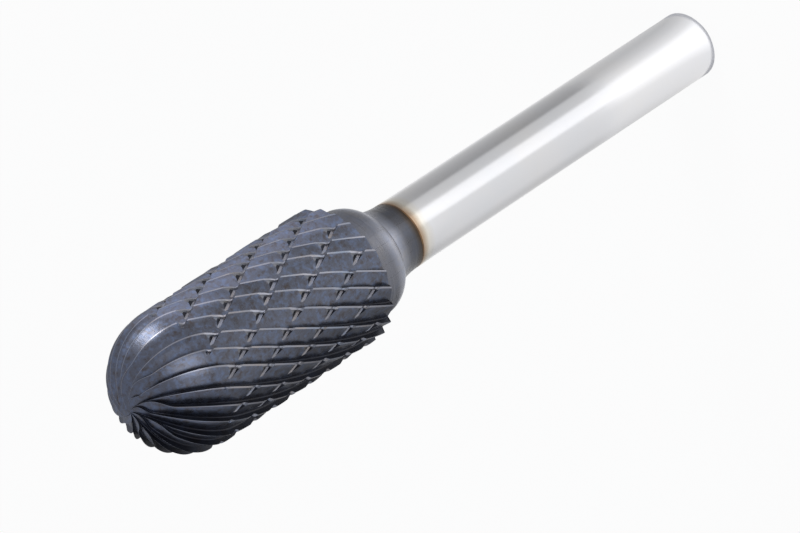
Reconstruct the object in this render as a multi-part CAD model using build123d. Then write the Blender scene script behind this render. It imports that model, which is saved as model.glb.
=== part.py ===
from build123d import *
import os
from math import cos, pi, radians, sin, tan

from numpy import interp

os.makedirs("parts", exist_ok=True)

# Driving dimensions, in millimetres and degrees. The free end of the shank is at the origin
# and the ball nose points up. Distances along the tool are measured back from the nose.
overall_length = 70.0
head_diameter = 12.0
shank_diameter = 6.0
shank_chamfer = 0.4

# Right-hand flutes over the ball nose and the cylinder of the head
fluted_length = 24.2
flute_count = 23
flute_depth = 0.75
rake_share = 0.09                 # rake face, as a share of the pitch
flute_helix = 25.7                # helix angle on the cylinder
nose_helix = 14.5                 # angle between a flute and the meridian near the tip
helix_growth = 4                  # how late on the ball the helix opens to that of the cylinder
first_flute_angle = -70.5         # first cutting edge, where ball and cylinder meet
index_offsets = (0, 0.8, 1.7, -0.7, 0, 0.6, 0, 2.7, 0.3, 1.9, 1.5, 0.6)  # uneven indexing, repeated

# Every third flute runs to the tip, and the two between fade out at these polar angles
fade_angles = (0.0, 20.0, 7.0)
fade_span = 14.0
faded_height_share = 0.16

# Left-hand chip-breaker grooves of V section, which start behind the ball
groove_count = 12
groove_helix = 28.0
groove_depth = 0.42
groove_slope_width = 0.60         # gentle side towards the nose, measured round the head
groove_wall_width = 0.36          # steep side towards the shank
groove_start = 4.2
groove_run_in = 1.4
first_groove_angle = -169.5       # where ball and cylinder meet

# Back face of the teeth, shoulder, neck and joint
shoulder_radius = 4.8
back_face_length = 0.45
shoulder_length = 1.55            # straight part behind the teeth
turned_cones = ((1.35, 4.4), (2.1, 3.56), (3.7, 3.22))  # reach from the straight part, radius
joint_distance = 31.3
braze_thickness = 0.15

# Stations along the head at which the tooth section is set out
ball_station_angles = (3, 5, 8, 11, 14, 18, 22, 26, 31, 37, 44, 52, 60, 70, 80, 90)
body_station_count = 12
groove_station_count = 14
twist_sum_steps = 60

# Sizes worked out from the dimensions above
head_radius = head_diameter / 2
shank_radius = shank_diameter / 2
flute_pitch = 360 / flute_count
back_distance = fluted_length + back_face_length
full_turn = 2 * pi


def height(distance):
    """Height above the free end of the shank of a point this far back from the nose."""
    return overall_length - distance


def smooth_step(share):
    """Ease from 0 to 1 as share goes from 0 to 1."""
    share = min(max(share, 0.0), 1.0)
    return share * share * (3 - 2 * share)


def ball_twist(polar_angle):
    """Turn of the flutes on the ball, summed from this polar angle to the edge of the ball."""
    step = (90 - polar_angle) / twist_sum_steps
    turn = 0.0
    for index in range(twist_sum_steps):
        middle = polar_angle + step * (index + 0.5)
        helix = nose_helix + (flute_helix - nose_helix) * (middle / 90) ** helix_growth
        turn += radians(step) * tan(radians(helix)) / sin(radians(middle))
    return turn


def body_twist(distance, helix_angle):
    """Turn of a helix on the cylinder, from where the ball ends."""
    return (head_radius - distance) * tan(radians(helix_angle)) / head_radius


def flute_stations():
    """Each station: height of its centre, polar angle in degrees, turn of the section."""
    stations = [(height(head_radius), polar, ball_twist(polar)) for polar in ball_station_angles]
    step = (back_distance - head_radius) / body_station_count
    for index in range(1, body_station_count + 1):
        distance = head_radius + step * index
        stations.append((height(distance), 90, body_twist(distance, flute_helix)))
    return stations


def edge_angle(tooth):
    """Angle of a cutting edge, with the uneven indexing, where ball and cylinder meet."""
    turns, index = divmod(tooth, flute_count)
    offset = index_offsets[index % len(index_offsets)]
    return radians(first_flute_angle - flute_pitch * index + offset) - full_turn * turns


def tooth_outline(tooth):
    """Angle and depth share of the cutting edge and of the foot of its rake face."""
    angle = edge_angle(tooth)
    gap = edge_angle(tooth - 1) - angle
    return [(angle, 0.0), (angle + gap * rake_share, 1.0)]


def faded_outline(polar_angle):
    """The whole toothed ring, with each short flute laid on the back of a longer one."""
    kinds = len(fade_angles)
    outline = []
    for fade_angle, kind in sorted(zip(fade_angles, range(kinds))):
        known_angles = [angle for angle, depth in outline]
        known_depths = [depth for angle, depth in outline]
        rise = smooth_step((polar_angle - fade_angle) / fade_span) if outline else 1.0
        share = faded_height_share + (1 - faded_height_share) * rise
        for tooth in range(kind, flute_count, kinds):
            for angle, depth in tooth_outline(tooth):
                if share < 1:
                    back = float(interp(angle, known_angles, known_depths, period=full_turn))
                    depth = share * depth + (1 - share) * back
                outline.append((angle, depth))
    return sorted(outline)


def tooth_section(station):
    """Points of the toothed section at one station, square to the surface of the blank."""
    centre_height, polar_angle, twist = station
    polar = radians(polar_angle)
    full_depth = flute_depth * sin(polar)
    points = []
    for angle, depth_share in faded_outline(polar_angle):
        reach = head_radius - full_depth * depth_share
        radius = reach * sin(polar)
        turned = angle + twist
        points.append(Vector(radius * cos(turned), radius * sin(turned), centre_height + reach * cos(polar)))
    return points


def skinned_solid(sections, tip=None):
    """Closed solid with one ruled face for each side that the sections share."""
    lengths = [0.0]
    for first, second in zip(sections, sections[1:]):
        lengths.append(lengths[-1] + (second[0] - first[0]).length)
    parameters = [length / lengths[-1] for length in lengths]
    curves = [Edge.make_spline(list(line), parameters=parameters) for line in zip(*sections)]
    neighbours = curves[1:] + curves[:1]
    faces = [Face.make_surface_from_curves(curve, other) for curve, other in zip(curves, neighbours)]
    faces.append(Face(Wire.make_polygon(sections[-1], close=True)))
    front = sections[0]
    if tip is None:
        faces.append(Face(Wire.make_polygon(front, close=True)))
    else:
        for corner, other in zip(front, front[1:] + front[:1]):
            faces.append(Face(Wire.make_polygon([tip, corner, other], close=True)))
    return Solid(Shell(faces))


def make_fluted_body():
    sections = [tooth_section(station) for station in flute_stations()]
    return skinned_solid(sections, tip=Vector(0, 0, overall_length))


def make_groove_cutter(index):
    """V-section cutter that winds left-handed and sinks in over its run-in length."""
    start_angle = radians(first_groove_angle + 360 / groove_count * index)
    lip_radius = head_radius + groove_depth
    slope_angle = 2 * groove_slope_width / lip_radius
    wall_angle = 2 * groove_wall_width / lip_radius
    step = (back_distance + groove_depth - groove_start) / groove_station_count
    sections = []
    for station in range(groove_station_count + 1):
        distance = groove_start + step * station
        sink = groove_depth * smooth_step((distance - groove_start) / groove_run_in)
        angle = start_angle + body_twist(distance, -groove_helix)
        corners = (
            (head_radius - sink, angle),
            (lip_radius, angle + slope_angle),
            (lip_radius, angle - wall_angle),
        )
        sections.append([Vector(r * cos(a), r * sin(a), height(distance)) for r, a in corners])
    return skinned_solid(sections)


def make_back_cutter():
    """Ring that bevels the back of the teeth down to the shoulder."""
    slope = back_face_length / (head_radius - shoulder_radius)
    outer_radius = head_radius + 1
    profile = Polyline(
        (shoulder_radius, height(back_distance)),
        (outer_radius, height(fluted_length - slope)),
        (outer_radius, height(back_distance + 1)),
        (shoulder_radius, height(back_distance + 1)),
        close=True,
    )
    return revolve(Plane.XZ * make_face(profile), Axis.Z)


def make_shoulder_and_neck():
    """Turned core of the head, from inside the teeth down to the joint with the shank."""
    core_start = head_radius + 2
    round_start = back_distance + shoulder_length
    cone_rings = [(radius, height(round_start + reach)) for reach, radius in turned_cones]
    profile = Polyline(
        (0, height(core_start)),
        (shoulder_radius, height(core_start)),
        (shoulder_radius, height(round_start)),
        *cone_rings,
        (shank_radius, height(joint_distance)),
        (0, height(joint_distance)),
        close=True,
    )
    return revolve(Plane.XZ * make_face(profile), Axis.Z)


def make_cutting_head():
    blank = make_fluted_body() - make_back_cutter()
    grooves = [make_groove_cutter(index) for index in range(groove_count)]
    return (blank - grooves) + make_shoulder_and_neck()


def make_braze_seam():
    bottom = height(joint_distance + braze_thickness)
    return Pos(0, 0, bottom) * extrude(Circle(shank_radius), braze_thickness)


def make_steel_shank():
    shank = extrude(Circle(shank_radius), height(joint_distance + braze_thickness))
    return chamfer(shank.edges().sort_by(Axis.Z)[0], shank_chamfer)


export_step(make_cutting_head(), "parts/cutting_head.step")
export_step(make_braze_seam(), "parts/braze_seam.step")
export_step(make_steel_shank(), "parts/steel_shank.step")
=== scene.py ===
from bisect import bisect_right
from math import atan2, cos, pi, radians, sin, tan
import bmesh
import bpy
from mathutils import Matrix, Vector


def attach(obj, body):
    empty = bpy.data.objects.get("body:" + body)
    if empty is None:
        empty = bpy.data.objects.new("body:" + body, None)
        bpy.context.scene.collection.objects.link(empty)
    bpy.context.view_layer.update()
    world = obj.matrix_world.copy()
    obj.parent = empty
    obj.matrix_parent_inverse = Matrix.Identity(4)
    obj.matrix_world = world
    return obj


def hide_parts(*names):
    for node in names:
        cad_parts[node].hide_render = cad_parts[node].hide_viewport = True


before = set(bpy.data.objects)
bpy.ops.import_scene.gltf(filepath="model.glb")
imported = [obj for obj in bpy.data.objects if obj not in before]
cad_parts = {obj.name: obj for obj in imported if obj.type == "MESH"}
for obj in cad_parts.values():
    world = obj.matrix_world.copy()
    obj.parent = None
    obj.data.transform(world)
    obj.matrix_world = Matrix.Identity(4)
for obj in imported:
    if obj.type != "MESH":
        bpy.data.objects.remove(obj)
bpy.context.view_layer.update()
scene = bpy.context.scene
mm = 0.001
fullTurn = 2 * pi
quarterTurn = 90            # degrees
jointHeight = 0.0386        # metres from the free end of the shank to the brazed joint
black = (0, 0, 0)
white = (1, 1, 1)


def addObject(name, data):
    newObject = bpy.data.objects.new(name, data)
    scene.collection.objects.link(newObject)
    return newObject


def smoothStep(share):
    share = min(max(share, 0.0), 1.0)
    return share * share * (3 - 2 * share)


print("camera")
# looks down on the nose, with the tool lying across the frame
view = {
    "lens": 225.7,
    "sensor": 36,
    "place": (0, -0.31933, 0.29125),
    "right": (-0.5507, -0.5186, -0.6541),
    "up": (0.8347, -0.3371, -0.4355),
    "back": (0.0053, -0.7858, 0.6185),
}
cameraData = bpy.data.cameras.new("camera")
cameraData.lens = view["lens"]
cameraData.sensor_width = view["sensor"]
camera = addObject("camera", cameraData)
cameraTurn = Matrix((view["right"], view["up"], view["back"])).transposed().to_4x4()
camera.matrix_world = Matrix.Translation(view["place"]) @ cameraTurn
scene.camera = camera


def addNode(tree, kind, inputs=None, **settings):
    # each input is given a value, or the socket of another node
    node = tree.nodes.new("ShaderNode" + kind)
    for name, value in settings.items():
        setattr(node, name, value)
    for name, value in (inputs or {}).items():
        socket = node.inputs[name]
        if isinstance(value, bpy.types.NodeSocket):
            tree.links.new(value, socket)
        elif socket.type == "RGBA":
            socket.default_value = (*value, 1)
        else:
            socket.default_value = value
    return node


def addMath(tree, operation, *inputs):
    return addNode(tree, "Math", dict(enumerate(inputs)), operation=operation).outputs[0]


def addMix(tree, share, first, second, blend="MIX"):
    inputs = {0: share, 6: first, 7: second}        # the sockets that a colour mix uses
    return addNode(tree, "Mix", inputs, data_type="RGBA", blend_type=blend).outputs[2]


def addRamp(tree, share, stops):
    ramp = addNode(tree, "ValToRGB", {0: share})
    elements = ramp.color_ramp.elements
    for index, (position, colour) in enumerate(stops):
        element = elements[index] if index < 2 else elements.new(position)
        element.position = position
        element.color = (*colour, 1)
    return ramp.outputs[0]


def newMaterial(name):
    material = bpy.data.materials.new(name)
    material.use_nodes = True
    tree = material.node_tree
    tree.nodes.clear()
    return material, tree, addNode(tree, "OutputMaterial").inputs["Surface"]


def newGroup(name, inputs, outputs):
    group = bpy.data.node_groups.new(name, "ShaderNodeTree")
    for direction, sockets in (("INPUT", inputs), ("OUTPUT", outputs)):
        for socketName, kind in sockets.items():
            group.interface.new_socket(
                name=socketName, in_out=direction, socket_type="NodeSocket" + kind)
    given = group.nodes.new("NodeGroupInput").outputs
    wanted = group.nodes.new("NodeGroupOutput").inputs
    return group, given, wanted


def makeGrindingLines():
    # fine rings left by a grinding wheel round the axis of the tool
    group, given, wanted = newGroup(
        "grindingLines",
        {"Position": "Vector", "Lines": "Float", "Drift": "Float"},
        {"Height": "Float"},
    )
    split = addNode(group, "SeparateXYZ", {0: given["Position"]})
    stretched = addNode(group, "CombineXYZ", {
        axis: addMath(group, "MULTIPLY", split.outputs[axis], given[amount])
        for axis, amount in (("X", "Drift"), ("Y", "Drift"), ("Z", "Lines"))
    })
    fine = addNode(group, "TexNoise", {
        "Vector": stretched.outputs[0], "Scale": 1, "Detail": 3, "Roughness": 0.7,
    })
    group.links.new(fine.outputs["Fac"], wanted["Height"])
    return group


def makeCloudyTint():
    # soft blotches, which thin coatings and heated metal show
    group, given, wanted = newGroup(
        "cloudyTint",
        {"Position": "Vector", "Size": "Float", "Base": "Color", "Cool": "Color", "Warm": "Color"},
        {"Color": "Color", "Blotch": "Float"},
    )
    coolClouds = addNode(group, "TexNoise", {
        "Vector": given["Position"], "Scale": given["Size"],
        "Detail": 5, "Roughness": 0.62, "Distortion": 0.3,
    }).outputs["Fac"]
    # the warm blotches are moved away from the cool ones
    moved = addNode(group, "VectorMath", {
        0: given["Position"], 1: (0.013, 0.027, 0.041),
    }, operation="ADD").outputs[0]
    warmClouds = addNode(group, "TexNoise", {
        "Vector": moved, "Scale": given["Size"], "Detail": 4, "Roughness": 0.6,
    }).outputs["Fac"]
    coolMask = addRamp(group, coolClouds, ((0.46, black), (0.68, white)))
    warmMask = addRamp(group, warmClouds, ((0.50, black), (0.72, white)))
    cooled = addMix(group, coolMask, given["Base"], given["Cool"])
    group.links.new(addMix(group, warmMask, cooled, given["Warm"]), wanted["Color"])
    group.links.new(coolClouds, wanted["Blotch"])
    return group


def makeHeatTint():
    # straw and brown bands that brazing leaves on both sides of the joint
    group, given, wanted = newGroup(
        "heatTint",
        {"Position": "Vector", "Joint": "Float", "Reach": "Float",
         "Base": "Color", "Straw": "Color", "Brown": "Color"},
        {"Color": "Color"},
    )
    height = addNode(group, "SeparateXYZ", {0: given["Position"]}).outputs["Z"]
    away = addMath(group, "ABSOLUTE", addMath(group, "SUBTRACT", height, given["Joint"]))
    uneven = addNode(group, "TexNoise", {"Vector": given["Position"], "Scale": 350}).outputs["Fac"]
    wander = addMath(group, "MULTIPLY_ADD", uneven, 0.0008, -0.0004)
    heat = addNode(group, "MapRange", {
        "Value": addMath(group, "ADD", away, wander),
        "From Min": 0, "From Max": given["Reach"], "To Min": 1, "To Max": 0,
    }).outputs[0]
    strawMask = addRamp(group, heat, ((0.0, black), (0.75, white)))
    brownMask = addRamp(group, heat, ((0.55, black), (0.95, white)))
    warmed = addMix(group, strawMask, given["Base"], given["Straw"])
    group.links.new(addMix(group, brownMask, warmed, given["Brown"]), wanted["Color"])
    return group


print("materials")
grindingLines = makeGrindingLines()
cloudyTint = makeCloudyTint()
heatTint = makeHeatTint()
blotchSpan = (0.3, 0.7)     # values of the clouds over which the roughness changes
lineHeight = 0.00005        # metres, of the grinding lines

# colours, size of the blotches, roughness between two values and depth of the grinding lines;
# lines and drift say how closely the lines lie and how far they wander
metals = {
    "coatedCarbide": {
        "base": (0.140, 0.150, 0.190),
        "cool": (0.165, 0.205, 0.310),
        "warm": (0.105, 0.092, 0.092),
        "blotchSize": 2100,
        "roughness": (0.26, 0.38),
        "lines": 9000,
        "drift": 900,
        "lineDepth": 0.10,
    },
    "wornLandWithHighlight": {         # the narrow land along each cutting edge, lighter for its worn coating and for a painted highlight along the crest
        "base": (0.33, 0.335, 0.385),
        "cool": (0.27, 0.32, 0.42),
        "warm": (0.38, 0.345, 0.335),
        "blotchSize": 260,
        "roughness": (0.28, 0.36),
        "lines": 9000,
        "drift": 900,
        "lineDepth": 0.05,
    },
    "shankSteel": {
        "base": (0.75, 0.75, 0.77),
        "cool": (0.73, 0.74, 0.77),
        "warm": (0.76, 0.75, 0.75),
        "blotchSize": 120,
        "roughness": (0.15, 0.20),
        "lines": 14000,
        "drift": 60,
        "lineDepth": 0.08,
        "heat": {"reach": 0.0015, "straw": (0.73, 0.69, 0.61), "brown": (0.42, 0.31, 0.22)},
    },
    "brazeAlloy": {
        "base": (0.17, 0.10, 0.055),
        "cool": (0.10, 0.065, 0.045),
        "warm": (0.26, 0.16, 0.08),
        "blotchSize": 700,
        "roughness": (0.30, 0.5),
        "lines": 9000,
        "drift": 900,
        "lineDepth": 0.1,
    },
    "paintedShadeCarbide": {        # painted shade: rake faces and the steep sides of the grooves, darkened for the shade that falls in the gullets and grooves
        "base": (0.030, 0.031, 0.040),
        "cool": (0.036, 0.042, 0.060),
        "warm": (0.028, 0.026, 0.030),
        "blotchSize": 900,
        "roughness": (0.36, 0.50),
        "lines": 9000,
        "drift": 900,
        "lineDepth": 0.10,
    },
    # painted highlight: the floor of each groove, lighter for the light that falls on that wall
    "paintedHighlightFloor": {
        "base": (0.29, 0.29, 0.325),
        "cool": (0.25, 0.28, 0.36),
        "warm": (0.32, 0.285, 0.27),
        "blotchSize": 700,
        "roughness": (0.40, 0.50),
        "lines": 9000,
        "drift": 900,
        "lineDepth": 0.05,
    },
    "wornAndHighlightedCarbide": {     # the long slope of the grooves, lighter for coating worn at their edges and for a painted highlight
        "base": (0.19, 0.193, 0.215),
        "cool": (0.17, 0.195, 0.25),
        "warm": (0.20, 0.185, 0.175),
        "blotchSize": 1200,
        "roughness": (0.38, 0.50),
        "lines": 9000,
        "drift": 900,
        "lineDepth": 0.05,
    },
    "turnedCarbide": {      # shoulder and neck
        "base": (0.380, 0.390, 0.450),
        "cool": (0.345, 0.375, 0.470),
        "warm": (0.390, 0.384, 0.410),
        "blotchSize": 700,
        "roughness": (0.24, 0.34),
        "lines": 5200,
        "drift": 160,
        "lineDepth": 0.75,
        "heat": {"reach": 0.0008, "straw": (0.33, 0.27, 0.22), "brown": (0.28, 0.20, 0.15)},
        # painted highlight and shade: the tone changes along the tool, dark along the neck near the
        # joint, light on the round and darker again on the shoulder, from the joint up to this
        # height in metres
        "paintedLightTop": 0.0446,
        "tones": ((0.0, 0.22), (0.28, 0.30), (0.50, 0.85), (0.72, 0.90), (0.88, 0.46), (1.0, 0.46)),
    },
}


def makeMetal(name, metal):
    material, tree, surface = newMaterial(name)
    place = addNode(tree, "TexCoord").outputs["Object"]
    tint = addNode(tree, "Group", node_tree=cloudyTint, inputs={
        "Position": place, "Size": metal["blotchSize"],
        "Base": metal["base"], "Cool": metal["cool"], "Warm": metal["warm"],
    })
    colour = tint.outputs["Color"]
    if "heat" in metal:
        heat = metal["heat"]
        colour = addNode(tree, "Group", node_tree=heatTint, inputs={
            "Position": place, "Joint": jointHeight, "Reach": heat["reach"],
            "Base": colour, "Straw": heat["straw"], "Brown": heat["brown"],
        }).outputs["Color"]
    # painted highlight and shade along the neck, round and shoulder, multiplied into the colour
    if "tones" in metal:
        height = addNode(tree, "SeparateXYZ", {0: place}).outputs["Z"]
        along = addNode(tree, "MapRange", {
            "Value": height, "From Min": jointHeight, "From Max": metal["paintedLightTop"],
        }).outputs[0]
        paintedHighlightAndShade = addRamp(tree, along, [(position, (tone,) * 3) for position, tone in metal["tones"]])
        colour = addMix(tree, 1, colour, paintedHighlightAndShade, "MULTIPLY")
    roughness = addNode(tree, "MapRange", {
        "Value": tint.outputs["Blotch"],
        "From Min": blotchSpan[0], "From Max": blotchSpan[1],
        "To Min": metal["roughness"][0], "To Max": metal["roughness"][1],
    }).outputs[0]
    lines = addNode(tree, "Group", node_tree=grindingLines, inputs={
        "Position": place, "Lines": metal["lines"], "Drift": metal["drift"],
    })
    bump = addNode(tree, "Bump", {
        "Strength": metal["lineDepth"], "Distance": lineHeight, "Height": lines.outputs["Height"],
    })
    shader = addNode(tree, "BsdfPrincipled", {
        "Base Color": colour, "Metallic": 1, "Roughness": roughness, "Normal": bump.outputs[0],
    })
    tree.links.new(shader.outputs[0], surface)
    return material


finishes = {name: makeMetal(name, metal) for name, metal in metals.items()}

print("cutting head")
# lengths are in millimetres and measured back from the tip, angles in degrees
head = {
    "length": 70.0,             # of the whole tool, which stands on its shank end
    "radius": 6.0,
    "flutes": 23,
    "fluteDepth": 0.53,
    "ballDeepening": 0.40,      # how much deeper the flutes are towards the tip
    "crowdedDepth": 0.8,        # power by which crowded flutes get shallower
    "helix": 25.7,
    "noseHelix": 14.5,
    "helixGrowth": 4,           # how late on the ball the helix opens to that of the body
    "firstEdge": -70.5,
    "offsets": (0, 0.8, 1.7, -0.7, 0, 0.6, 0, 2.7, 0.3, 1.9, 1.5, 0.6),
    "rakeShare": 0.03,          # reach of the rake face, as a share of the full pitch
    "landShare": 0.10,
    "tipLand": 0.3,             # share of the land's width that is left at the tip
    "starts": (0.0, 20.0, 7.0),  # polar angles where the long, short and middle flutes start
    "startSpans": (1.0, 20.0, 13.0),
    "gather": 0.86,             # how far a starting flute leans to the next one
    "flutedLength": 24.2,
    "backLength": 0.45,
    "backMargin": 0.6,          # faces this far behind the flutes still belong to the teeth
    "shoulderRadius": 4.8,
    "shoulderLength": 1.55,
    "roundLength": 2.0,
    "roundDrop": 1.2,
    "roundTurn": 0.72,          # share of a quarter turn that the round takes
    "neckCurve": 1.9,           # power of the curve from the round down to the shank
    "joint": 31.3,
    "shankRadius": 3.0,
    "tipPolar": 1.2,            # polar angle of the first ring
    "ringCrowding": 1.25,       # power by which the rings lie closer towards the tip
    "ballRings": 44,
    "bodyRings": 60,
    "neckRings": 12,
    "twistSteps": 60,
    "sharpAngle": 24,
    "mergeDistance": 0.0001,
}
# share of the tooth, share of the depth: rake face and floor, then the flat back
toothFront = ((0.0, 0.0), (-0.9, 0.50), (-0.7, 0.86), (1.0, 1.0))
toothBack = ((0.05, 0.97), (0.15, 0.90), (0.38, 0.72), (0.70, 0.41), (1.0, 0.03))
pointsPerTooth = len(toothFront) + len(toothBack)
pointsAround = pointsPerTooth * head["flutes"]
flutePitch = fullTurn / head["flutes"]

# finish of each kind of face on the head, in the order of its material slots; the dark faces take
# painted shade, the groove floors a painted highlight, and lands and slopes are partly worn and
# partly painted highlight
faceFinishes = {
    "back": "coatedCarbide",
    "land": "wornLandWithHighlight",
    "paintedShade": "paintedShadeCarbide",
    "shoulder": "turnedCarbide",
    "floor": "paintedHighlightFloor",
    "wornAndHighlighted": "wornAndHighlightedCarbide",
    "groove": "coatedCarbide",  # faces of the grooves, until they are sorted
}
slots = {kind: index for index, kind in enumerate(faceFinishes)}


def ballTwist(polar):
    step = (quarterTurn - polar) / head["twistSteps"]
    turn = 0.0
    for index in range(head["twistSteps"]):
        middle = polar + step * (index + 0.5)
        opening = (middle / quarterTurn) ** head["helixGrowth"]
        helix = head["noseHelix"] + (head["helix"] - head["noseHelix"]) * opening
        turn += radians(step) * tan(radians(helix)) / sin(radians(middle))
    return turn


def bodyTwist(distance, helix):
    return (head["radius"] - distance) * tan(radians(helix)) / head["radius"]


def edgeAngle(tooth):
    turns, index = divmod(tooth, head["flutes"])
    offset = head["offsets"][index % len(head["offsets"])]
    return radians(head["firstEdge"] + offset) - flutePitch * index - fullTurn * turns


def landShare(polar):
    widening = (1 - head["tipLand"]) * (polar / quarterTurn) ** 2
    return head["landShare"] * (head["tipLand"] + widening)


def toothedRing(polar):
    # angle and depth of every point of the section, tooth by tooth in falling order
    edges = {}
    strengths = {}
    for tooth in range(-3, head["flutes"] + 3):
        kind = tooth % head["flutes"] % 3       # long, short and middle flutes take turns
        rise = smoothStep((polar - head["starts"][kind]) / head["startSpans"][kind])
        edges[tooth] = edgeAngle(tooth)
        strengths[tooth] = rise if kind else 1.0
    for tooth in range(-2, head["flutes"] + 3):
        lean = head["gather"] * (1 - strengths[tooth])
        edges[tooth] += lean * (edges[tooth - 1] - edges[tooth])
    ring = []
    for tooth in range(head["flutes"]):
        start = edges[tooth]
        gap = edges[tooth - 1] - start
        room = min(gap / flutePitch, 1.0)
        front = head["rakeShare"] * flutePitch * room
        land = landShare(polar) * flutePitch * room
        back = gap - front - land
        depth = room ** head["crowdedDepth"]
        for share, fall in toothFront:
            ring.append((start + front * share, fall * depth))
        for share, fall in toothBack:
            ring.append((start + front + back * share, fall * depth))
    return ring


def placeRing(verts, pointLayer, centre, polar, twist):
    ring = toothedRing(polar)
    angleOfPolar = radians(polar)
    deepening = head["ballDeepening"] * (1 - (polar / quarterTurn) ** 2)
    fullDepth = head["fluteDepth"] * (1 + deepening)
    for vert in verts:
        angle, fall = ring[vert[pointLayer]]
        reach = head["radius"] - fullDepth * sin(angleOfPolar) * fall
        radius = reach * sin(angleOfPolar)
        vert.co = Vector((
            radius * cos(angle + twist),
            radius * sin(angle + twist),
            head["length"] - centre + reach * cos(angleOfPolar),
        )) * mm


def extrudeRing(bm, verts):
    ringVerts = set(verts)
    edges = [edge for vert in verts for edge in vert.link_edges if edge.is_boundary]
    edges = [edge for edge in dict.fromkeys(edges) if ringVerts.issuperset(edge.verts)]
    grown = bmesh.ops.extrude_edge_only(bm, edges=edges)["geom"]
    return [item for item in grown if isinstance(item, bmesh.types.BMVert)]


def placeRound(verts, radius, distance):
    for vert in verts:
        flat = Vector((vert.co.x, vert.co.y, 0)).normalized() * radius * mm
        vert.co = Vector((flat.x, flat.y, (head["length"] - distance) * mm))


def closeLastRing(bm):
    bmesh.ops.contextual_create(bm, geom=[edge for edge in bm.edges if edge.is_boundary])


def putInOrder(items, key):
    places = {item: place for place, item in enumerate(sorted(items, key=key))}
    items.sort(key=places.get)


def orderByVertices(bm):
    # extrusions add their faces in no fixed order, and this makes every run the same
    bm.verts.index_update()
    for items in (bm.edges, bm.faces):
        putInOrder(items, lambda item: sorted(vert.index for vert in item.verts))


def addMeshObject(name, bm):
    orderByVertices(bm)
    mesh = bpy.data.meshes.new(name)
    bm.to_mesh(mesh)
    bm.free()
    return addObject(name, mesh)


def startTip(bm, pointLayer):
    # a fan round the tip, from whose rim the teeth grow
    bmesh.ops.create_circle(bm, cap_ends=True, cap_tris=True, segments=pointsAround, radius=mm)
    tip = min(bm.verts, key=lambda vert: vert.co.length)
    rim = [vert for vert in bm.verts if vert is not tip]
    rim.sort(key=lambda vert: atan2(vert.co.y, vert.co.x))
    # teeth are numbered against the turn of the angle, and their points along it
    for place, vert in enumerate(rim):
        tooth, point = divmod(place, pointsPerTooth)
        vert[pointLayer] = (head["flutes"] - 1 - tooth) * pointsPerTooth + point
    tip.co = Vector((0, 0, head["length"] * mm))
    return rim


def growTeeth(bm, pointLayer, rim):
    for step in range(head["ballRings"] + 1):
        share = (step / head["ballRings"]) ** head["ringCrowding"]
        polar = head["tipPolar"] + (quarterTurn - head["tipPolar"]) * share
        if step:
            rim = extrudeRing(bm, rim)
        placeRing(rim, pointLayer, head["radius"], polar, ballTwist(polar))
    bodyLength = head["flutedLength"] - head["radius"]
    for step in range(1, head["bodyRings"] + 1):
        rim = extrudeRing(bm, rim)
        distance = head["radius"] + bodyLength * step / head["bodyRings"]
        twist = bodyTwist(distance, head["helix"])
        placeRing(rim, pointLayer, distance, quarterTurn, twist)
    slope = head["backLength"] / (head["radius"] - head["shoulderRadius"])
    for vert in rim:            # the backs of the teeth are bevelled down to the shoulder
        radius = Vector((vert.co.x, vert.co.y, 0)).length / mm
        vert.co.z -= (head["radius"] - radius) * slope * mm
    return rim


def neckProfile():
    # radius and distance of each ring: straight shoulder, round, concave neck
    backDistance = head["flutedLength"] + head["backLength"]
    roundStart = backDistance + head["shoulderLength"]
    neckStart = roundStart + head["roundLength"]
    neckRadius = head["shoulderRadius"] - head["roundDrop"]
    neckLength = head["joint"] - neckStart
    fullRound = radians(quarterTurn * head["roundTurn"])
    steps = range(1, head["neckRings"] + 1)
    profile = []
    for share in (0, 0.5, 1.0):
        profile.append((head["shoulderRadius"], backDistance + head["shoulderLength"] * share))
    for step in steps:
        turn = radians(quarterTurn * step / head["neckRings"]) * head["roundTurn"]
        across = sin(turn) / sin(fullRound)
        drop = (1 - cos(turn)) / (1 - cos(fullRound))
        radius = head["shoulderRadius"] - head["roundDrop"] * drop
        profile.append((radius, roundStart + head["roundLength"] * across))
    for step in steps:
        share = step / head["neckRings"]
        fall = (1 - share) ** head["neckCurve"]
        radius = head["shankRadius"] + (neckRadius - head["shankRadius"]) * fall
        profile.append((radius, neckStart + neckLength * share))
    return profile


def sortBlankFaces(bm, pointLayer):
    teethEnd = head["length"] - head["flutedLength"] - head["backMargin"]
    for face in bm.faces:
        points = sorted({vert[pointLayer] % pointsPerTooth for vert in face.verts})
        face.smooth = True
        if min(vert.co.z / mm for vert in face.verts) <= teethEnd:
            face.material_index = slots["shoulder"]
        elif points == [0, pointsPerTooth - 1]:
            face.material_index = slots["land"]
        # rake faces and gullet floors take the painted shade of the gullets
        elif max(points) < len(toothFront):
            face.material_index = slots["paintedShade"]
        else:
            face.material_index = slots["back"]


def makeHeadBlank():
    bm = bmesh.new()
    pointLayer = bm.verts.layers.int.new("point")
    rim = startTip(bm, pointLayer)
    rim = growTeeth(bm, pointLayer, rim)
    for radius, distance in neckProfile():
        rim = extrudeRing(bm, rim)
        placeRound(rim, radius, distance)
    closeLastRing(bm)
    bmesh.ops.recalc_face_normals(bm, faces=bm.faces)
    sortBlankFaces(bm, pointLayer)
    return addMeshObject("cuttingHead", bm)


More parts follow.
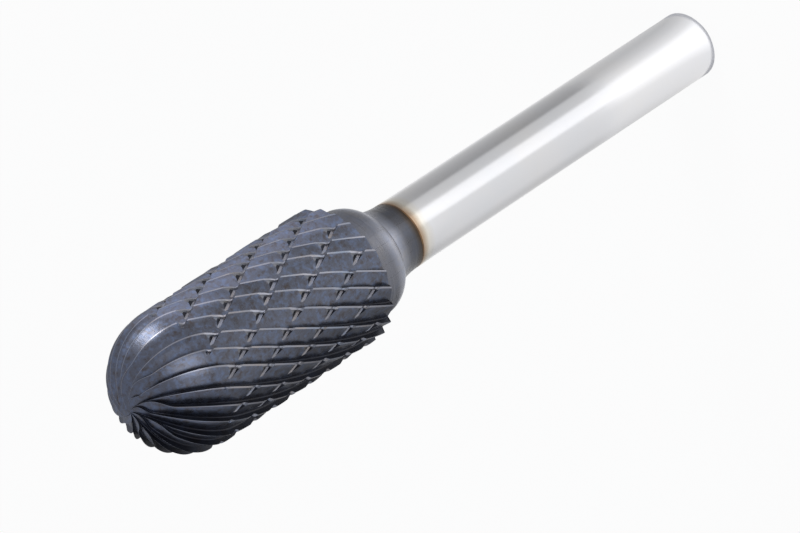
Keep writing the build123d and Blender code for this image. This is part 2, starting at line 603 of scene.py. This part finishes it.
# lengths are in millimetres, offsets go round the head from the middle of a groove
groove = {
    "count": 12,
    "helix": 28.0,
    "depth": 0.40,
    "start": 4.2,
    "runIn": 1.4,
    "coatedRunIn": 0.4,         # end of the run-in up to which the groove keeps the finish of the tooth backs, without painted highlight or shade
    "overrun": (1.0, 1.6),      # how far a cutter goes past the start and past the teeth
    "firstAngle": -169.5,
    "landKept": 0.60,           # share of the depth to which the lands dip in a groove
    "floorReach": (-0.27, 0.02),  # offsets between which the floor of a groove gets a painted highlight
    "shadedPitReach": 0.30,           # offset up to which the slope gets the painted shade of the pit
    "brightShare": 0.80,        # share of the tooth from which the whole groove takes the finish of worn coating and painted highlight
    "wallSide": 0.35,           # share of the pitch on the wall's side that belongs to a groove
}
# offset, share of the depth: steep wall, floor, long slope
grooveSection = (
    (-0.70, -1.0), (-0.42, 0.0), (-0.27, 0.84), (-0.20, 0.95), (-0.11, 1.0), (-0.03, 0.98),
    (0.04, 0.90), (0.17, 0.69), (0.32, 0.47), (0.52, 0.32), (0.92, 0.0), (1.50, -0.8),
)
# share of the tooth, share of the groove's depth that is cut there
grooveSteps = (
    (0.03, 0.0), (0.11, 1.0), (0.30, 1.0), (0.50, 1.0), (0.70, 1.0),
    (0.825, 1.0), (0.882, 0.0), (0.94, 0.0), (0.985, 0.0),
)
bodyEdges = sorted(edgeAngle(tooth) for tooth in range(head["flutes"]))
bodyEdges.append(bodyEdges[0] + fullTurn)
crossing = tan(radians(head["helix"])) + tan(radians(groove["helix"]))


def grooveRings(startAngle):
    # turn, distance and depth of each ring of a cutter, in the order of the turn
    firstDistance = groove["start"] - groove["overrun"][0]
    lastDistance = head["flutedLength"] + head["backLength"] + groove["overrun"][1]
    rings = []
    for turns in (-1, 0, 1, 2):
        for edge, nextEdge in zip(bodyEdges, bodyEdges[1:]):
            for share, cut in grooveSteps:
                phase = edge + (nextEdge - edge) * share + fullTurn * turns
                centre = head["radius"] * (1 + (phase - startAngle) / crossing)
                if firstDistance < centre < lastDistance:
                    depth = groove["landKept"] + (1 - groove["landKept"]) * cut
                    rings.append((phase, centre, depth))
    return sorted(rings)


def placeGrooveRing(verts, cornerLayer, phase, centre, depth):
    # the ring follows a flute, so that the land is left standing in the groove
    for vert in verts:
        offset, fall = grooveSection[vert[cornerLayer]]
        distance = centre - offset / crossing
        sink = smoothStep((distance - groove["start"]) / groove["runIn"])
        fall = fall * sink * depth if fall > 0 else fall
        radius = head["radius"] - groove["depth"] * fall
        turn = phase + bodyTwist(distance, head["helix"])
        vert.co = Vector((radius * cos(turn), radius * sin(turn), head["length"] - distance)) * mm


def makeGrooveCutters():
    bm = bmesh.new()
    cornerLayer = bm.verts.layers.int.new("corner")
    corners = len(grooveSection)
    for index in range(groove["count"]):
        startAngle = radians(groove["firstAngle"]) + fullTurn * index / groove["count"]
        rings = grooveRings(startAngle)
        rim = bmesh.ops.create_circle(bm, cap_ends=True, segments=corners, radius=mm)["verts"]
        for corner, vert in enumerate(rim):
            vert[cornerLayer] = corner
        for step, (phase, centre, depth) in enumerate(rings):
            if step:
                rim = extrudeRing(bm, rim)
            placeGrooveRing(rim, cornerLayer, phase, centre, depth)
        closeLastRing(bm)
    bmesh.ops.recalc_face_normals(bm, faces=bm.faces)
    for face in bm.faces:
        face.material_index = slots["groove"]
        face.smooth = True
    return addMeshObject("grooveCutters", bm)


def shareAcrossTooth(angle, distance):
    # how far round its tooth a point of the body lies, from the cutting edge behind it
    phase = angle - bodyTwist(distance, head["helix"])
    phase -= fullTurn * ((phase - bodyEdges[0]) // fullTurn)
    tooth = bisect_right(bodyEdges, phase) - 1
    return (phase - bodyEdges[tooth]) / (bodyEdges[tooth + 1] - bodyEdges[tooth])


def offsetFromGroove(angle, distance):
    pitch = fullTurn / groove["count"]
    away = angle - radians(groove["firstAngle"]) - bodyTwist(distance, -groove["helix"])
    wallSide = pitch * groove["wallSide"]
    return ((away + wallSide) % pitch - wallSide) * head["radius"]


def grooveFaceKind(point):
    # lands keep their worn finish with a painted highlight, groove floors get a painted highlight,
    # the steep sides and pits of the grooves get painted shade, and the long slopes a finish of
    # worn coating and painted highlight
    distance = head["length"] - point.z / mm
    angle = atan2(point.y, point.x)
    offset = offsetFromGroove(angle, distance)
    share = shareAcrossTooth(angle, distance)
    floorStart, floorEnd = groove["floorReach"]
    if distance < groove["start"] + groove["runIn"] - groove["coatedRunIn"]:
        return "back"
    if share > 1 - head["landShare"]:
        return "land" if offset > floorStart else "wornAndHighlighted"
    if floorStart < offset < floorEnd:
        return "floor"
    if offset > groove["shadedPitReach"] or share > groove["brightShare"]:
        return "wornAndHighlighted"
    return "paintedShade"


def cutGrooves(target, cutters):
    cut = target.modifiers.new("grooves", "BOOLEAN")
    cut.operation = "DIFFERENCE"
    cut.solver = "EXACT"
    cut.object = cutters
    cut.material_mode = "INDEX"
    graph = bpy.context.evaluated_depsgraph_get()
    mesh = bpy.data.meshes.new_from_object(target.evaluated_get(graph), depsgraph=graph)
    target.modifiers.clear()
    target.data = mesh
    bpy.data.objects.remove(cutters)
    for polygon in mesh.polygons:
        if polygon.material_index == slots["groove"]:
            polygon.material_index = slots[grooveFaceKind(polygon.center)]
    mesh.materials.pop()        # the slot of the faces that weren't sorted yet


def cleanMesh(target):
    bm = bmesh.new()
    bm.from_mesh(target.data)
    putInOrder(bm.verts, lambda vert: vert.co[:])   # the boolean numbers them in no fixed order
    orderByVertices(bm)
    bmesh.ops.remove_doubles(bm, verts=bm.verts, dist=head["mergeDistance"] * mm)
    bmesh.ops.recalc_face_normals(bm, faces=bm.faces)
    limit = radians(head["sharpAngle"])
    for face in bm.faces:
        face.smooth = True
    for edge in bm.edges:
        edge.smooth = len(edge.link_faces) != 2 or edge.calc_face_angle(0) < limit
    bm.to_mesh(target.data)
    bm.free()


cuttingHead = makeHeadBlank()
cutters = makeGrooveCutters()
for piece in (cuttingHead, cutters):
    for finish in faceFinishes.values():
        piece.data.materials.append(finishes[finish])
cutGrooves(cuttingHead, cutters)
cleanMesh(cuttingHead)
print("cutting head faces", len(cuttingHead.data.polygons))
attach(cuttingHead, "root")
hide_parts("cutting_head")

print("shank and joint")
for node, finish in (("steel_shank", "shankSteel"), ("braze_seam", "brazeAlloy")):
    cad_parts[node].material_slots[0].material = finishes[finish]

print("stage")
stage = {
    "floorReach": 3,            # metres from the middle to each side
    "floorColour": (0.9, 0.9, 0.9),
    "floorRoughness": 0.9,
    "floorGloss": 0.1,
    "whiteShare": 0.93,         # of plain white that the camera sees on the floor
    "worldColour": (0.92, 0.94, 1),
    "worldStrength": 0.55,
    "cardHeight": 0.0001,
    "cardSides": 96,
}


def makeFloor():
    bm = bmesh.new()
    bmesh.ops.create_grid(bm, x_segments=1, y_segments=1, size=stage["floorReach"])
    floor = addMeshObject("floor", bm)
    material, tree, surface = newMaterial("paleFloor")
    matt = addNode(tree, "BsdfPrincipled", {
        "Base Color": stage["floorColour"],
        "Roughness": stage["floorRoughness"],
        "Specular IOR Level": stage["floorGloss"],
    })
    plainWhite = addNode(tree, "Emission")
    cameraRay = addNode(tree, "LightPath").outputs["Is Camera Ray"]
    mix = addNode(tree, "MixShader", {
        0: addMath(tree, "MULTIPLY", cameraRay, stage["whiteShare"]),
        1: matt.outputs[0],
        2: plainWhite.outputs[0],
    })
    tree.links.new(mix.outputs[0], surface)
    floor.data.materials.append(material)
    return floor


floor = makeFloor()

# rings of light and dark cards lie round the tool, for its polished faces to mirror:
# inner and outer radius in metres, then turn from the far side, brightness and blueness
cards = {
    "neckRing": (0.0036, 0.019, (
        (0.00, 0.95), (0.14, 1.05), (0.22, 1.45), (0.32, 1.35), (0.36, 1.00), (0.43, 0.75),
        (0.50, 0.62), (0.61, 0.68), (0.74, 1.00), (0.85, 0.72), (1.00, 0.95),
    )),
    "shankRing": (0.019, 0.052, (
        (0.000, 0.84), (0.140, 0.90), (0.208, 0.92), (0.216, 1.35), (0.322, 1.20), (0.334, 0.72),
        (0.428, 0.68), (0.438, 0.36), (0.520, 0.46), (0.610, 0.60), (0.680, 0.92), (0.740, 1.20),
        (0.780, 1.10), (0.850, 0.66), (0.920, 0.66), (1.000, 0.84),
    )),
    "landRing": (0.052, 0.105, (
        (0.000, 0.60), (0.055, 0.75), (0.140, 1.00), (0.220, 1.10), (0.250, 1.60), (0.310, 1.60),
        (0.350, 0.95), (0.430, 0.70), (0.500, 0.50), (0.583, 0.45), (0.750, 0.40), (0.900, 0.25),
        (0.950, 0.35), (1.000, 0.60),
    )),
    "toothRing": (0.105, 0.6, (
        (0.000, 0.56), (0.050, 0.72), (0.100, 0.78), (0.150, 0.76), (0.200, 0.60), (0.250, 0.48),
        (0.300, 0.46), (0.335, 0.68), (0.375, 1.25, 1.08), (0.453, 1.50, 1.08),
        (0.503, 1.28, 1.08), (0.610, 0.60), (0.750, 0.05), (0.850, 0.03), (0.900, 0.12),
        (0.950, 0.32), (1.000, 0.56),
    )),
}


def makeCardTones(name, tones):
    material, tree, surface = newMaterial(name)
    place = addNode(tree, "TexCoord").outputs["Object"]
    turn = addNode(tree, "TexGradient", {0: place}, gradient_type="RADIAL")
    stops = []
    for position, tone, *blueness in tones:
        blue = tone * blueness[0] if blueness else tone
        stops.append((position, (tone, tone, blue)))
    glow = addNode(tree, "Emission", {"Color": addRamp(tree, turn.outputs["Fac"], stops)})
    tree.links.new(glow.outputs[0], surface)
    return material


def makeCardRing(name, innerRadius, outerRadius, tones):
    bm = bmesh.new()
    bmesh.ops.create_circle(bm, segments=stage["cardSides"], radius=innerRadius)
    outer = bmesh.ops.extrude_edge_only(bm, edges=bm.edges)["geom"]
    for item in outer:
        if isinstance(item, bmesh.types.BMVert):
            item.co = item.co.normalized() * outerRadius
    bmesh.ops.translate(bm, verts=bm.verts, vec=(0, 0, stage["cardHeight"]))
    ring = addMeshObject(name, bm)
    ring.data.materials.append(makeCardTones(name + "Tones", tones))
    ring.visible_camera = False
    ring.visible_diffuse = False
    ring.visible_shadow = False
    ring.visible_transmission = False


for name, (innerRadius, outerRadius, tones) in cards.items():
    makeCardRing(name, innerRadius, outerRadius, tones)

print("light")
world = bpy.data.worlds.new("studio")
scene.world = world
world.use_nodes = True
background = world.node_tree.nodes["Background"]
background.inputs["Color"].default_value = (*stage["worldColour"], 1)
background.inputs["Strength"].default_value = stage["worldStrength"]

lamps = {
    "keyLamp": {"place": (0.50, -0.32, 0.27), "aim": (0, 0, 0.05), "size": 0.18, "power": 0.9},
    "fillLamp": {"place": (-0.35, -0.45, 0.30), "aim": (0, 0, 0.04), "size": 0.40, "power": 0.7},
}
for name, values in lamps.items():
    lampData = bpy.data.lights.new(name, "AREA")
    lampData.size = values["size"]
    lampData.energy = values["power"]
    lamp = addObject(name, lampData)
    lamp.location = values["place"]
    towards = Vector(values["aim"]) - Vector(values["place"])
    lamp.rotation_euler = towards.to_track_quat("-Z", "Y").to_euler()

scene.view_settings.view_transform = "Standard"
